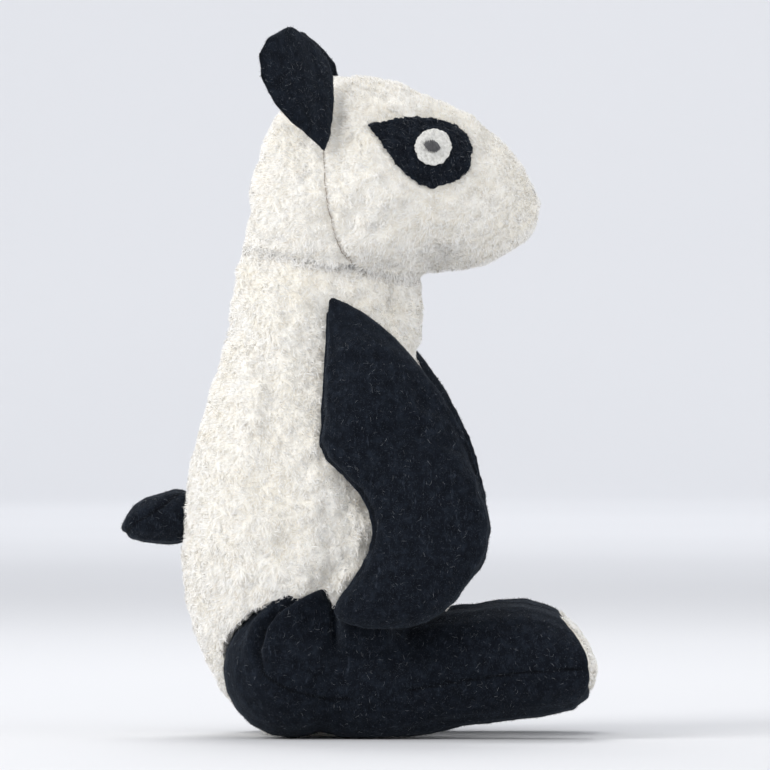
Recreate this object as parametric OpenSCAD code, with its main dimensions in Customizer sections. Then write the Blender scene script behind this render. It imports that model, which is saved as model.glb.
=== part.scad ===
// Sitting plush panda: cream plush body and head, black felt limbs and ears.
// Millimetres, +Z up, the face looks along -Y, the toy's own right side is -X.

/* [View] */
// Part to draw

/* [Cloth] */
// Thickness of the sewn cloth
cloth_t = 1.6; // [1.0:0.1:2.5]
// Thickness of the felt pieces laid on the face
felt_t = 1.1; // [0.6:0.1:2.0]

/* [Body] */
// Overall height of the sitting toy
toy_h = 245.2; // [220:0.1:270]
// Widest part of the body, side to side
body_w = 104; // [90:1:120]
// Widest part of the head, side to side
head_w = 84; // [74:1:96]
// Radius of the round neck opening
neck_r = 32.9; // [31:0.1:35]

/* [Limbs] */
// Middle of each hip, out from the centre line
hip_x = 32; // [30:0.5:36]
// Radius of the round hip
hip_r = 23.8; // [21:0.1:26]
// Thickest part of the arm
arm_t = 22; // [16:1:26]
// How many degrees straighter the left arm hangs than the right one
left_arm_lean = 4; // [0:1:12]
// Widest part of the leg
leg_w = 39; // [32:1:42]
// Radius of the round root of the tail
tail_r = 9.8; // [8:0.1:11]

/* [Face] */
// Diameter of the white felt eye
eye_d = 12.6; // [9:0.1:15]
// Width of the stitched pupil
pupil_w = 6.2; // [4:0.1:8]
// Width of the stitched nose
nose_w = 11; // [7:0.5:15]

/* [Fit] */
// Gap kept between pieces that move against each other
move_gap = 0.4; // [0.3:0.05:0.8]
// Gap kept between cloth and stuffing
fill_gap = 0.25; // [0.1:0.05:0.5]
// Gap between the root of each ear and the head
ear_gap = 0.5; // [0.4:0.05:1.2]

/* [Hidden] */

cream = [0.93, 0.91, 0.86];
black = [0.07, 0.08, 0.10];
white = [0.96, 0.95, 0.92];
fill = [0.88, 0.88, 0.86];
grey = [0.22, 0.22, 0.24];

hip_y = 21.5;
hip_z = hip_r;
tail_y = 63.4;
tail_z = 76.4;
neck_c = [0, 9.2, 163.75];
neck_n = [0, -0.19, 0.982];
neck_b = neck_c - 13 * neck_n;
shoulder_y = 8;
shoulder_z = 105;
middle_y = 1.25;

// ---------- small helpers ----------
function unit(v) = v / max(norm(v), 1e-9);
function at(l, i) = l[min(max(i, 0), len(l) - 1)];
function curve(a, b, c, d, t) = 0.5 * (2 * b + (c - a) * t + (2 * a - 5 * b + 4 * c - d) * t * t + (3 * b - a - 3 * c + d) * t * t * t);
function smooth(l, n) = [for (k = [0:n]) let(s = k * (len(l) - 1) / n, i = min(floor(s), len(l) - 2)) curve(at(l, i - 1), l[i], l[i + 1], at(l, i + 2), s - i)];
// a row in the middle plane, then a row anywhere: first rail, second rail, half width
function mid(l, k = 1) = [for (r = l) [0, r[0], r[1], 0, r[2], r[3], r[4] * k]];
function put(l, x, k = 1) = [for (r = l) [x, r[0], r[1], x, r[2], r[3], r[4] * k]];
function pa(r) = [r[0], r[1], r[2]];
function pb(r) = [r[3], r[4], r[5]];
function pc(r) = (pa(r) + pb(r)) / 2;
function off(v, t) = let(u = v - (v * t) * t) unit(u);
// rows moved inwards by d, the two ends moved inwards by e0 and e1
function inset(l, d, e0 = 0, e1 = 0) = [for (i = [0:len(l) - 1])
    let(r = l[i], p = at(l, i - 1), q = at(l, i + 1),
        ta = unit(pa(q) - pa(p)), tb = unit(pb(q) - pb(p)),
        tc = unit(pc(q) - pc(p)), h = norm(pa(r) - pb(r)) / 2,
        dd = min(d, h * 0.6),
        s = (q[6] - p[6]) / max(norm(pc(q) - pc(p)), 0.5),
        k = min(sqrt(1 + s * s), 1.6),
        m = (i == 0 ? e0 : 0) * tc - (i == len(l) - 1 ? e1 : 0) * tc,
        a = pa(r) + dd * off(pb(r) - pa(r), ta) + m,
        b = pb(r) + dd * off(pa(r) - pb(r), tb) + m)
    [a[0], a[1], a[2], b[0], b[1], b[2], max(r[6] - d * k, 0.25)]];

module skin(l, m = 28) {
    n = len(l);
    pts = [for (i = [0:n - 1])
        let(r = l[i], c = pc(r), h = (pa(r) - pb(r)) / 2,
            t = unit(pc(at(l, i + 1)) - pc(at(l, i - 1))), w = r[6] * unit(cross(h, t)))
        for (j = [0:m - 1]) c + h * cos(360 * j / m) + w * sin(360 * j / m)];
    side = [for (i = [0:n - 2], j = [0:m - 1]) let(a = i * m + j, b = i * m + (j + 1) % m)
        each [[a, b, b + m], [a, b + m, a + m]]];
    polyhedron(points = pts, faces = concat(side, [[for (j = [m - 1:-1:0]) j]], [[for (j = [0:m - 1]) (n - 1) * m + j]]), convexity = 6);
}

module ball(r, n = 20) rotate([0, 90, 0]) rotate_extrude($fn = n)
    polygon([for (i = [0:n / 2]) let(a = -90 + i * 360 / n) [max(0, r * cos(a)), r * sin(a)]]);

module as_mesh() resize([0, 0, 0]) children();
// a prism across the toy from a shape drawn in the side view (y, z)
module across(p, x0, x1) translate([x0, 0, 0]) rotate([90, 0, 90]) linear_extrude(x1 - x0) polygon(p);
module half(s) translate([s > 0 ? 0 : -120, -150, -20]) cube([120, 300, 320]);
module two(s) if (s > 0) mirror([1, 0, 0]) children(); else children();

// ---------- torso ----------
torso_rows = mid([
    [38.9, 169.5, -20.5, 158.0, 28.4],
    [40.2, 166.7, -20.7, 154.9, 29.6],
    [41.7, 163.9, -21.0, 151.8, 30.8],
    [42.7, 160.5, -21.3, 148.3, 32.2],
    [44.2, 152.5, -21.4, 141.6, 35.0],
    [46.4, 139.0, -20.6, 130.5, 39.0],
    [50.2, 126.0, -23.2, 118.5, 43.0],
    [55.2, 112.0, -28.0, 105.0, 46.8],
    [60.0, 97.0, -33.0, 90.5, 50.0],
    [63.4, 80.0, -37.0, 74.5, 52.0],
    [64.0, 63.0, -37.0, 58.0, 52.0],
    [62.0, 48.0, -28.8, 43.0, 50.2],
    [59.2, 36.0, -25.0, 29.5, 46.0],
    [54.8, 26.0, -25.5, 17.0, 40.5],
    [49.0, 16.5, -17.0, 7.5, 33.0],
    [41.0, 7.5, -8.0, 2.5, 25.0],
    [30.0, 0.0, 4.0, 0.0, 15.0]], body_w / 104);
torso = smooth(torso_rows, 16);
torso_m = 24;
torso_in = smooth(torso_rows, 12);
torso_in_m = 20;

module torso_cuts(g) {
    for (s = [-1, 1]) translate([s * hip_x, hip_y, hip_z]) rotate([9, s * 90, 0]) rotate_extrude($fn = 20)
        let(r = hip_r + g + 0.35) polygon(concat([[0, 40]], [[r, 40]], [for (i = [0:5]) let(a = i * 18) [max(0, r * cos(a)), -r * sin(a)]]));
    for (s = [-1, 1]) two(s) for (a = [0:15:60]) translate([0, hip_y, hip_z]) rotate([a, 0, 0]) translate([0, -hip_y, -hip_z])
        skin(inset(smooth(limb_rows, 6), -g - 1.5), 10);
    for (s = [-1, 1]) two(s) translate([-60, -100, -5]) cube([60 - hip_x + leg_w / 2 + 1.2, 100 + hip_y, hip_z + 5]);
    translate([0, tail_y, tail_z]) ball(tail_r + g + 0.6, 16);
}
module torso_skin() difference() {
    skin(torso, torso_m);
    skin(inset(torso_in, cloth_t, -3, cloth_t), torso_in_m);
    torso_cuts(move_gap);
}
side_seam = [[6.4, 200], [6.7, 152], [7.8, 122], [9.3, 98], [9.4, 80], [7, 60], [9, 40], [44, 2], [50, -5]];
module behind() across(concat(side_seam, [[100, -5], [100, 200]]), -80, 80);
module torso_front() color(cream) as_mesh() difference() { torso_skin(); behind(); }
module torso_back(s) color(cream) as_mesh() intersection() { torso_skin(); behind(); half(s); }
module torso_stuffing() color(fill) as_mesh() difference() {
    skin(inset(torso_in, cloth_t + fill_gap, 0.3, cloth_t + fill_gap), torso_in_m);
    torso_cuts(move_gap + 0.2);
}

// ---------- neck ----------
module neck_up(h) translate(neck_b + (13 + h) * neck_n) rotate([atan2(0.19, 0.982), 0, 0]) translate([-60, -60, 0]) cube([120, 120, 80]);
module neck_stuffing() color(fill) as_mesh() intersection() {
    translate(neck_b) ball(neck_r, 24);
    neck_up(0.3);
}

// ---------- head ----------
head_rows = mid([
    [38.4, 166.0, -19.6, 155.0, 27.0],
    [38.9, 171.0, -21.0, 159.6, 29.6],
    [38.6, 178.0, -22.6, 161.2, 33.6],
    [38.0, 187.0, -24.0, 161.9, 37.0],
    [36.9, 197.0, -25.5, 162.3, 39.8],
    [34.6, 207.0, -27.0, 162.7, 41.4],
    [30.0, 217.0, -29.0, 163.1, 42.0],
    [22.0, 226.0, -31.5, 163.5, 42.0],
    [11.0, 231.8, -34.5, 163.8, 41.2],
    [-2.0, 231.6, -38.0, 164.0, 39.2],
    [-15.0, 228.6, -42.0, 164.4, 36.4],
    [-28.0, 223.4, -46.5, 165.0, 32.4],
    [-40.0, 217.0, -51.0, 166.2, 27.6],
    [-50.0, 209.6, -55.2, 168.2, 22.6],
    [-57.2, 202.6, -58.9, 171.4, 17.6],
    [-61.6, 196.4, -61.9, 175.8, 12.6],
    [-64.2, 190.6, -64.2, 181.0, 7.0],
    [-65.0, 187.6, -65.0, 184.4, 2.4]], head_w / 84);
head = smooth(head_rows, 17);
head_m = 24;
head_in = smooth(head_rows, 13);
head_in_m = 20;
module neck_cut() translate(neck_b) ball(neck_r + move_gap, 24);
module head_skin() difference() {
    skin(head, head_m);
    skin(inset(head_in, cloth_t, 0, cloth_t), head_in_m);
    neck_cut();
}
head_seam = [[9.0, 250], [9.2, 232], [9.8, 215], [10.5, 203.5], [10.0, 195.2], [9.2, 187.8], [8.1, 180.5], [6.0, 173.2], [3.7, 168.9], [0.8, 165.2], [-1.2, 160.2], [-2.4, 140]];
module head_behind() across(concat(head_seam, [[100, 140], [100, 250]]), -80, 80);
module face(s) color(cream) as_mesh() difference() { intersection() { head_skin(); half(s); } head_behind(); }
module head_back(s) color(cream) as_mesh() intersection() { head_skin(); half(s); head_behind(); }
module head_stuffing() color(fill) as_mesh() difference() {
    skin(inset(head_in, cloth_t + fill_gap, 0, cloth_t + fill_gap), head_in_m);
    translate(neck_b) ball(neck_r + move_gap + 0.35, 24);
}

// ---------- face pieces ----------
module laid_on(p, a, b) as_mesh() intersection() {
    difference() { skin(inset(head, -b), head_m); skin(inset(head, -a), head_m); }
    across(p, -60, -12);
}
eye_c = [-27.9, 205.3];
patch_line = [[-5.4, 213.0], [-12.3, 214.5], [-19.6, 216.0], [-26.9, 215.5], [-34.9, 213.3], [-39.4, 209.8], [-41.1, 204.6], [-40.4, 198.0], [-37.1, 194.4], [-32.8, 192.2], [-27.6, 191.1], [-23.2, 192.5], [-18.9, 195.9], [-15.1, 199.5], [-11.6, 204.6], [-7.8, 209.8]];
module eye_patch(s) color(black) two(s) laid_on(patch_line, 0.05, 0.05 + felt_t);
module eye_white(s) color(white) two(s) laid_on([for (i = [0:19]) eye_c + eye_d / 2 * [cos(i * 18), sin(i * 18)]], 0.1 + felt_t, 0.1 + 2 * felt_t);
module pupil(s) color(grey) two(s) laid_on([for (i = [0:13]) eye_c + [0.2, 0.3] + [pupil_w / 2 * cos(i * 360 / 14), pupil_w * 0.36 * sin(i * 360 / 14)]], 0.15 + 2 * felt_t, 0.15 + 2 * felt_t + 1.1);
module nose() color(grey) as_mesh() intersection() {
    difference() { skin(inset(head, -0.8, 0, -0.8), head_m); skin(inset(head, -0.05, 0, -0.05), head_m); }
    translate([0, -45, 188.2]) rotate([90, 0, 0]) linear_extrude(30) polygon([for (p = [[-1, 2.6], [-0.84, 3.4], [0, 0.6], [0.84, 3.4], [1, 2.6], [0.1, -0.6], [0.1, -3.2], [-0.1, -3.2], [-0.1, -0.6]]) [p[0] * nose_w / 2, p[1]]]);
}

// ---------- ears ----------
// how far the root runs down to the head before the head is cut away from it
ear_in = [1.1, -0.35, -0.8];
ear = smooth([for (r = [
    [-40.3, 10.0, 204.6, -41.0, 11.0, 205.0, 0.5],
    [-38.2, 8.6, 209.4, -44.5, 14.8, 208.8, 1.8],
    [-35.0, 7.6, 215.6, -48.5, 20.6, 213.6, 2.4],
    [-31.0, 7.0, 222.4, -51.0, 26.4, 220.4, 2.7],
    [-27.0, 7.4, 228.6, -51.8, 30.2, 228.4, 2.8],
    [-24.6, 9.0, 234.0, -49.8, 30.8, 236.0, 2.7],
    [-25.8, 12.0, 238.0, -45.5, 28.0, 241.4, 2.3],
    [-29.2, 15.6, 241.6, -38.5, 23.4, 244.4, 1.6],
    [-33.0, 18.8, 244.0, -35.0, 20.4, 245.2, 0.5]]) [(r[0] + ear_in[0]) * head_w / 84, r[1] + ear_in[1], r[2] + ear_in[2], r[3] * head_w / 84, r[4], r[5], r[6]]], 8);
// everything on one side of the middle sheet of a lofted shape
module one_side(l, v, flip = false) {
    n = len(l);
    e = 4;
    pts = concat(
        [for (r = l) each let(u = unit(pa(r) - pb(r)), o = 0.12 * unit(v)) [pa(r) + e * u + o, pb(r) - e * u + o]],
        [for (r = l) each let(u = unit(pa(r) - pb(r))) [pa(r) + e * u + v, pb(r) - e * u + v]]);
    k = 2 * n;
    body = [for (i = [0:n - 2]) let(a = 2 * i) each [
        [a, a + 2, a + 3], [a, a + 3, a + 1],
        [k + a, k + a + 3, k + a + 2], [k + a, k + a + 1, k + a + 3],
        [a, k + a, k + a + 2], [a, k + a + 2, a + 2],
        [a + 1, a + 3, k + a + 3], [a + 1, k + a + 3, k + a + 1]]];
    ends = [[0, 1, k + 1], [0, k + 1, k], [k - 2, 2 * k - 2, 2 * k - 1], [k - 2, 2 * k - 1, k - 1]];
    all = concat(body, ends);
    polyhedron(points = pts, faces = flip ? [for (f = all) [f[2], f[1], f[0]]] : all, convexity = 4);
}
function tall(l) = concat([l[0] + 3 * (l[0] - l[1])], l, [at(l, 99) + 3 * (at(l, 99) - l[len(l) - 2])]);
module ear_solid() difference() {
    skin(ear, 12);
    skin(inset(head, -ear_gap), head_m);
}
module ear_piece(s, front) color(black) two(s) as_mesh() {
    if (front) difference() { ear_solid(); one_side(ear_cut, [14, 30, 6], true); }
    else intersection() { ear_solid(); one_side(ear_cut, [14, 30, 6], true); }
}
ear_cut = let(l = [for (r = ear) r]) concat(
    [[l[0][0], l[0][1], l[0][2] - 4, l[0][3], l[0][4], l[0][5] - 4, 1]], [for (i = [1:len(l) - 2]) l[i]],
    [let(r = l[len(l) - 1]) [r[0], r[1], r[2] + 4, r[3], r[4], r[5] + 4, 1]]);

// ---------- arms ----------
arm = smooth([
    [-34.4, 6.9, 153.4, -34.5, 8.5, 152.6, 0.6],
    [-35.6, -1.2, 149.8, -36.6, 8.9, 145.5, 3.2],
    [-37.0, -9.2, 144.2, -38.8, 9.1, 138.5, 5.6],
    [-38.6, -16.5, 137.8, -41.2, 9.3, 131.0, 7.6],
    [-40.8, -23.8, 129.4, -44.0, 9.8, 121.6, 9.0],
    [-42.8, -30.6, 120.0, -46.8, 10.6, 110.6, 10.0],
    [-44.8, -37.4, 107.6, -49.6, 11.6, 99.0, 10.6],
    [-46.4, -42.6, 97.0, -52.4, 4.4, 93.0, 10.6],
    [-47.4, -46.9, 86.0, -55.0, -4.8, 84.4, 10.6],
    [-48.4, -49.2, 75.0, -57.5, -8.4, 74.6, 10.6],
    [-49.4, -48.4, 66.2, -59.0, -7.2, 65.2, 11.0],
    [-50.5, -45.1, 59.3, -60.0, -2.8, 56.8, 11.2],
    [-52.0, -40.6, 52.2, -60.0, 2.6, 49.2, 11.0],
    [-53.0, -36.4, 46.0, -59.5, 5.0, 43.6, 9.8],
    [-54.5, -30.0, 41.2, -58.5, 2.8, 40.0, 7.4],
    [-56.0, -21.5, 38.0, -57.0, -4.4, 37.6, 3.2]], 21);
arm_k = arm_t / 22;
arm_rows = [for (r = arm) [r[0] * body_w / 104, r[1], r[2], r[3] * body_w / 104, r[4], r[5], r[6] * arm_k]];
arm_m = 12;
arm_cut = let(l = arm_rows, n = len(l) - 1) concat(
    [[l[0][0], l[0][1], l[0][2] + 4, l[0][3], l[0][4], l[0][5] + 4, 1]], [for (i = [1:n - 1]) l[i]],
    [[l[n][0], l[n][1], l[n][2] - 4, l[n][3], l[n][4], l[n][5] - 4, 1]]);
function spun(p, a) = [p[0], shoulder_y + (p[1] - shoulder_y) * cos(a) - (p[2] - shoulder_z) * sin(a), shoulder_z + (p[1] - shoulder_y) * sin(a) + (p[2] - shoulder_z) * cos(a)];
function hung(l, s) = let(a = s > 0 ? left_arm_lean : 0) [for (r = l) concat(spun(pa(r), a), spun(pb(r), a), [r[6]])];
module arm_skin(s) difference() {
    l = hung(arm_rows, s);
    skin(l, arm_m);
    skin(inset(torso, -move_gap - 0.2, 0, 0), torso_m);
    difference() {
        skin([for (i = [3:len(l) - 3]) inset(l, cloth_t)[i]], arm_m);
        skin(inset(torso_in, -move_gap - 0.8 - cloth_t), torso_in_m);
    }
}
module arm_outer(s) color(black) two(s) as_mesh() intersection() { arm_skin(s); one_side(hung(arm_cut, s), [-40, 0, 0], true); }
module arm_inner(s) color(black) two(s) as_mesh() difference() { arm_skin(s); one_side(hung(arm_cut, s), [-40, 0, 0], true); }
module arm_stuffing(s) color(fill) two(s) as_mesh() difference() {
    l = hung(arm_rows, s);
    skin([for (i = [4:len(l) - 4]) inset(l, cloth_t + fill_gap)[i]], arm_m);
    skin(inset(torso_in, -move_gap - 0.8 - cloth_t - fill_gap), torso_in_m);
}

// ---------- legs ----------
limb_rows = put([
    [14.0, 43.6, 14.0, 2.6, 19.0],
    [4.0, 42.0, 5.0, 0.9, 19.2],
    [-6.0, 38.2, -6.0, 0.4, 18.8],
    [-16.0, 36.4, -17.0, 1.6, 18.2],
    [-27.0, 39.8, -29.0, 3.4, 18.4],
    [-38.5, 44.6, -41.0, 4.9, 19.0],
    [-50.0, 47.0, -53.0, 6.4, 19.5],
    [-60.0, 47.6, -64.0, 7.9, 19.3],
    [-68.0, 45.9, -72.0, 9.4, 18.6],
    [-75.0, 42.6, -78.5, 11.6, 17.8],
    [-80.2, 37.6, -82.0, 14.8, 16.6],
    [-83.4, 31.8, -84.2, 20.4, 14.4],
    [-84.7, 27.6, -84.8, 24.6, 11.6]], -hip_x, leg_w / 39);
limb = smooth(limb_rows, 12);
limb_m = 18;
limb_in = smooth(limb_rows, 9);
module leg_solid(d) {
    translate([-hip_x, hip_y, hip_z]) ball(hip_r - d, d > 0 ? 16 : 20);
    if (d > 0) skin(inset(limb_in, d, 0, d), 14); else skin(limb, limb_m);
}
module leg_skin() difference() { leg_solid(0); leg_solid(cloth_t); }
upper_line = [[-100, 26.6], [-82.6, 25.1], [-58.5, 23.3], [-34.3, 19.9], [-10, 15], [7.3, 13.9], [21.1, 17.4], [29.8, 22.5], [32.2, 31.2], [30.1, 37.4], [26.3, 40.2], [16.9, 42.3], [10.7, 43.9], [5.9, 44.5], [5.0, 60], [-100, 60]];
sole_line = [[-69.5, 60], [-69.8, 46], [-72.6, 42.9], [-78.1, 37.7], [-81.6, 32.5], [-82.9, 26.3], [-82.6, 21], [-81.2, 16.4], [-77.2, 11.5], [-75, 8], [-75, -5], [-100, -5], [-100, 60]];
module leg_upper(s) color(black) two(s) as_mesh() difference() { intersection() { leg_skin(); across(upper_line, -80, 0); } across(sole_line, -80, 0); }
module leg_lower(s) color(black) two(s) as_mesh() difference() { leg_skin(); across(upper_line, -80, 0); across(sole_line, -80, 0); }
module leg_sole(s) color(cream) two(s) as_mesh() intersection() { leg_skin(); across(sole_line, -80, 0); }
module leg_stuffing(s) color(fill) two(s) as_mesh() leg_solid(cloth_t + fill_gap);

// ---------- tail ----------
tail = smooth(mid([
    [60.6, 86.3, 63.0, 66.7, 9.2],
    [65.4, 85.5, 66.4, 66.5, 9.3],
    [69.8, 84.5, 70.4, 66.7, 9.2],
    [74.2, 83.3, 74.8, 67.3, 8.6],
    [78.2, 80.8, 78.7, 68.4, 7.2],
    [80.8, 77.2, 81.1, 70.1, 5.0],
    [82.2, 74.0, 82.3, 71.6, 2.0]]), 6);
tail_m = 12;
module tail_solid(d) {
    translate([0, tail_y, tail_z]) ball(tail_r - d, 12);
    skin(inset(tail, d, d, d), tail_m);
}
module tail_skin() difference() { tail_solid(0); tail_solid(cloth_t); }
tail_line = [[50, 93.5], [64.7, 82.6], [70, 78.6], [77.1, 74.4], [80, 71.4], [90, 62], [90, 100], [50, 100]];
module tail_upper() color(black) as_mesh() intersection() { tail_skin(); across(tail_line, -20, 20); }
module tail_lower() color(black) as_mesh() difference() { tail_skin(); across(tail_line, -20, 20); }
module tail_stuffing() color(fill) as_mesh() tail_solid(cloth_t + fill_gap);

// ---------- the toy ----------
module placed() scale(toy_h / 245.2) translate([0, middle_y, 0]) children();
placed() torso_front();
placed() torso_back(1);  // torso_back_left
placed() torso_back(-1);  // torso_back_right
placed() torso_stuffing();
placed() neck_stuffing();
placed() face(1);  // face_left
placed() face(-1);  // face_right
placed() head_back(1);  // head_back_left
placed() head_back(-1);  // head_back_right
placed() head_stuffing();
placed() eye_patch(1);  // eye_patch_left
placed() eye_patch(-1);  // eye_patch_right
placed() eye_white(1);  // eye_white_left
placed() eye_white(-1);  // eye_white_right
placed() pupil(1);  // pupil_left
placed() pupil(-1);  // pupil_right
placed() nose();
placed() ear_piece(1, true);  // ear_left_front
placed() ear_piece(1, false);  // ear_left_back
placed() ear_piece(-1, true);  // ear_right_front
placed() ear_piece(-1, false);  // ear_right_back
placed() arm_outer(1);  // arm_left_outer
placed() arm_inner(1);  // arm_left_inner
placed() arm_stuffing(1);  // arm_left_stuffing
placed() arm_outer(-1);  // arm_right_outer
placed() arm_inner(-1);  // arm_right_inner
placed() arm_stuffing(-1);  // arm_right_stuffing
placed() leg_upper(1);  // leg_left_upper
placed() leg_lower(1);  // leg_left_lower
placed() leg_sole(1);  // leg_left_sole
placed() leg_stuffing(1);  // leg_left_stuffing
placed() leg_upper(-1);  // leg_right_upper
placed() leg_lower(-1);  // leg_right_lower
placed() leg_sole(-1);  // leg_right_sole
placed() leg_stuffing(-1);  // leg_right_stuffing
placed() tail_upper();
placed() tail_lower();
placed() tail_stuffing();
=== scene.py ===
"""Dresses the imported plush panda.

Sewn cloth skins go over the stuffed solids, with brushed cream pile on the body and head, lint and nap on the
black felt, and stitched eyes and nose. Points are worked out in millimetres and built in metres.
"""
import itertools
import math
from collections import namedtuple

import bpy
import numpy as np
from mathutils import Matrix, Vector
from mathutils.bvhtree import BVHTree
from mathutils.kdtree import KDTree


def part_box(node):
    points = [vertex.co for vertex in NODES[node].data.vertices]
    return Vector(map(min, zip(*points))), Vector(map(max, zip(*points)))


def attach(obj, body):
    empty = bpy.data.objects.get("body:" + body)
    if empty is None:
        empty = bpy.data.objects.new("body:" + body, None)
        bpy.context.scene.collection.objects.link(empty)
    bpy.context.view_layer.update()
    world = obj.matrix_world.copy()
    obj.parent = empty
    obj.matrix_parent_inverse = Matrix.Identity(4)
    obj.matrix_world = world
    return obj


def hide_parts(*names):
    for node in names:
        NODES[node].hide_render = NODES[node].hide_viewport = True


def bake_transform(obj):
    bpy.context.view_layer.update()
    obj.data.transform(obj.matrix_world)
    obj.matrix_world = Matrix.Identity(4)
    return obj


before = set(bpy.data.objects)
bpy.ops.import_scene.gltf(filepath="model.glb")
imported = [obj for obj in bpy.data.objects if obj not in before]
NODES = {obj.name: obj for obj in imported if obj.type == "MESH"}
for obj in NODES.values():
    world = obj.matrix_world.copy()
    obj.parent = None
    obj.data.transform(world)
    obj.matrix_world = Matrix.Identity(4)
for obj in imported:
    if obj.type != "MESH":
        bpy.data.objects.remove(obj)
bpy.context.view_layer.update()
MM = 0.001
CLOTH_FLOOR = 0.05  # the lowest a skin reaches, so that it rests on the ground
PILE_FLOOR = 0.08  # the lowest a strand of pile reaches

TORSO = ["torso_front", "torso_back_left", "torso_back_right"]
HEAD = ["face_left", "face_right", "head_back_left", "head_back_right"]


# ---------- numbers and meshes, in millimetres ----------
def cad(name):
    """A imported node's points and triangles, welded."""
    me = NODES[name].data
    v = np.empty(len(me.vertices) * 3, np.float32)
    me.vertices.foreach_get("co", v)
    v = v.reshape(-1, 3).astype(float) / MM
    me.calc_loop_triangles()
    t = np.empty(len(me.loop_triangles) * 3, np.int32)
    me.loop_triangles.foreach_get("vertices", t)
    _, first, back = np.unique(np.round(v, 3), axis=0, return_index=True, return_inverse=True)
    t = back.ravel()[t].reshape(-1, 3)
    t = t[(t[:, 0] != t[:, 1]) & (t[:, 1] != t[:, 2]) & (t[:, 2] != t[:, 0])]
    return v[first], t


def build(name, v, *faces):
    """A mesh object from points in millimetres and one array of faces for each number of corners."""
    me = bpy.data.meshes.new(name)
    me.vertices.add(len(v))
    me.vertices.foreach_set("co", (np.asarray(v) * MM).astype(np.float32).ravel())
    loops = np.concatenate([f.ravel() for f in faces])
    sizes = np.concatenate([np.full(len(f), f.shape[1]) for f in faces])
    me.loops.add(len(loops))
    me.loops.foreach_set("vertex_index", loops.astype(np.int32))
    me.polygons.add(len(sizes))
    me.polygons.foreach_set("loop_start", np.concatenate([[0], np.cumsum(sizes)[:-1]]).astype(np.int32))
    me.polygons.foreach_set("use_smooth", np.ones(len(sizes), bool))
    me.update(calc_edges=True)
    me.validate()
    o = bpy.data.objects.new(name, me)
    bpy.context.scene.collection.objects.link(o)
    return o


def paint(o, **values):
    """Keeps a value for each point, which the materials read by its name."""
    for key, value in values.items():
        a = o.data.attributes.new(key, "FLOAT", "POINT")
        a.data.foreach_set("value", np.asarray(value, np.float32).ravel())


def drop(o):
    """Takes a working object out of the scene."""
    me = o.data
    bpy.data.objects.remove(o)
    bpy.data.meshes.remove(me)


def edges_of(q):
    """Each edge of these faces once, as pairs of points."""
    e = np.sort(np.vstack([q[:, [i, (i + 1) % q.shape[1]]] for i in range(q.shape[1])]), axis=1)
    return np.unique(e, axis=0)


def shell(names, voxel):
    """One closed skin round these nodes, as even quads."""
    vs, ts, n = [], [], 0
    for name in names:
        v, t = cad(name)
        vs.append(v)
        ts.append(t + n)
        n += len(v)
    o = build("work", np.vstack(vs), np.vstack(ts))
    m = o.modifiers.new("r", "REMESH")
    m.mode, m.voxel_size = "VOXEL", voxel * MM
    ev = o.evaluated_get(bpy.context.evaluated_depsgraph_get())
    me = ev.to_mesh()
    v = np.empty(len(me.vertices) * 3, np.float32)
    me.vertices.foreach_get("co", v)
    q = np.empty(len(me.loops), np.int32)
    me.loops.foreach_get("vertex_index", q)
    v, q = v.reshape(-1, 3).astype(float) / MM, q.reshape(-1, 4)
    ev.to_mesh_clear()
    drop(o)
    return largest(v, q)


def largest(v, q):
    """The connected part of a mesh that has the most points."""
    e = edges_of(q)
    group = np.arange(len(v))
    while True:
        low = np.minimum(group[e[:, 0]], group[e[:, 1]])
        new = group.copy()
        np.minimum.at(new, group[e[:, 0]], low)
        np.minimum.at(new, group[e[:, 1]], low)
        new = new[new]
        if (new == group).all():
            break
        group = new
    keep = group == np.bincount(group, minlength=len(v)).argmax()
    at = np.cumsum(keep) - 1
    return v[keep], at[q[keep[q[:, 0]]]]


def neighbour_sum(values, e, n):
    """The sum of a value over the points that share an edge with each point."""
    return np.bincount(e[:, 0], values[e[:, 1]], n) + np.bincount(e[:, 1], values[e[:, 0]], n)


def relax(v, q, times, inward=0.5, back=-0.53):
    """Smooths with hardly any shrinking, as each step inward is followed by one back."""
    e = edges_of(q)
    n = len(v)
    count = np.bincount(e.ravel(), minlength=n)[:, None]
    for i in range(times):
        s = np.stack([neighbour_sum(v[:, c], e, n) for c in range(3)], 1)
        v = v + (inward if i % 2 == 0 else back) * (s / count - v)
    return v


def normals(v, q):
    """The way each point of a skin faces."""
    n = np.cross(v[q[:, 2]] - v[q[:, 0]], v[q[:, 3 % q.shape[1]]] - v[q[:, 1]])
    corners = range(q.shape[1])
    out = np.stack([sum(np.bincount(q[:, i], n[:, c], len(v)) for i in corners) for c in range(3)], 1)
    return out / np.maximum(np.linalg.norm(out, axis=1, keepdims=True), 1e-12)


def spread(values, q, times):
    """Averages a value over neighbouring points."""
    e = edges_of(q)
    n = len(values)
    count = np.bincount(e.ravel(), minlength=n)
    for _ in range(times):
        values = 0.5 * values + 0.5 * neighbour_sum(values, e, n) / count
    return values


def scrambled(x, y, z, seed):
    """A fixed random number from 0 to 1 for each corner of a grid of whole numbers."""
    h = x * 73856093 ^ y * 19349663 ^ z * 83492791 ^ (seed * 2654435761 + 97)
    h = ((h & 0xFFFFFFFF) ^ ((h & 0xFFFFFFFF) >> 13)) * 1274126177 & 0xFFFFFFFF
    h = ((h ^ (h >> 15)) * 2246822519) & 0xFFFFFFFF
    return ((h ^ (h >> 16)) & 0xFFFF) / 65535.0


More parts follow.
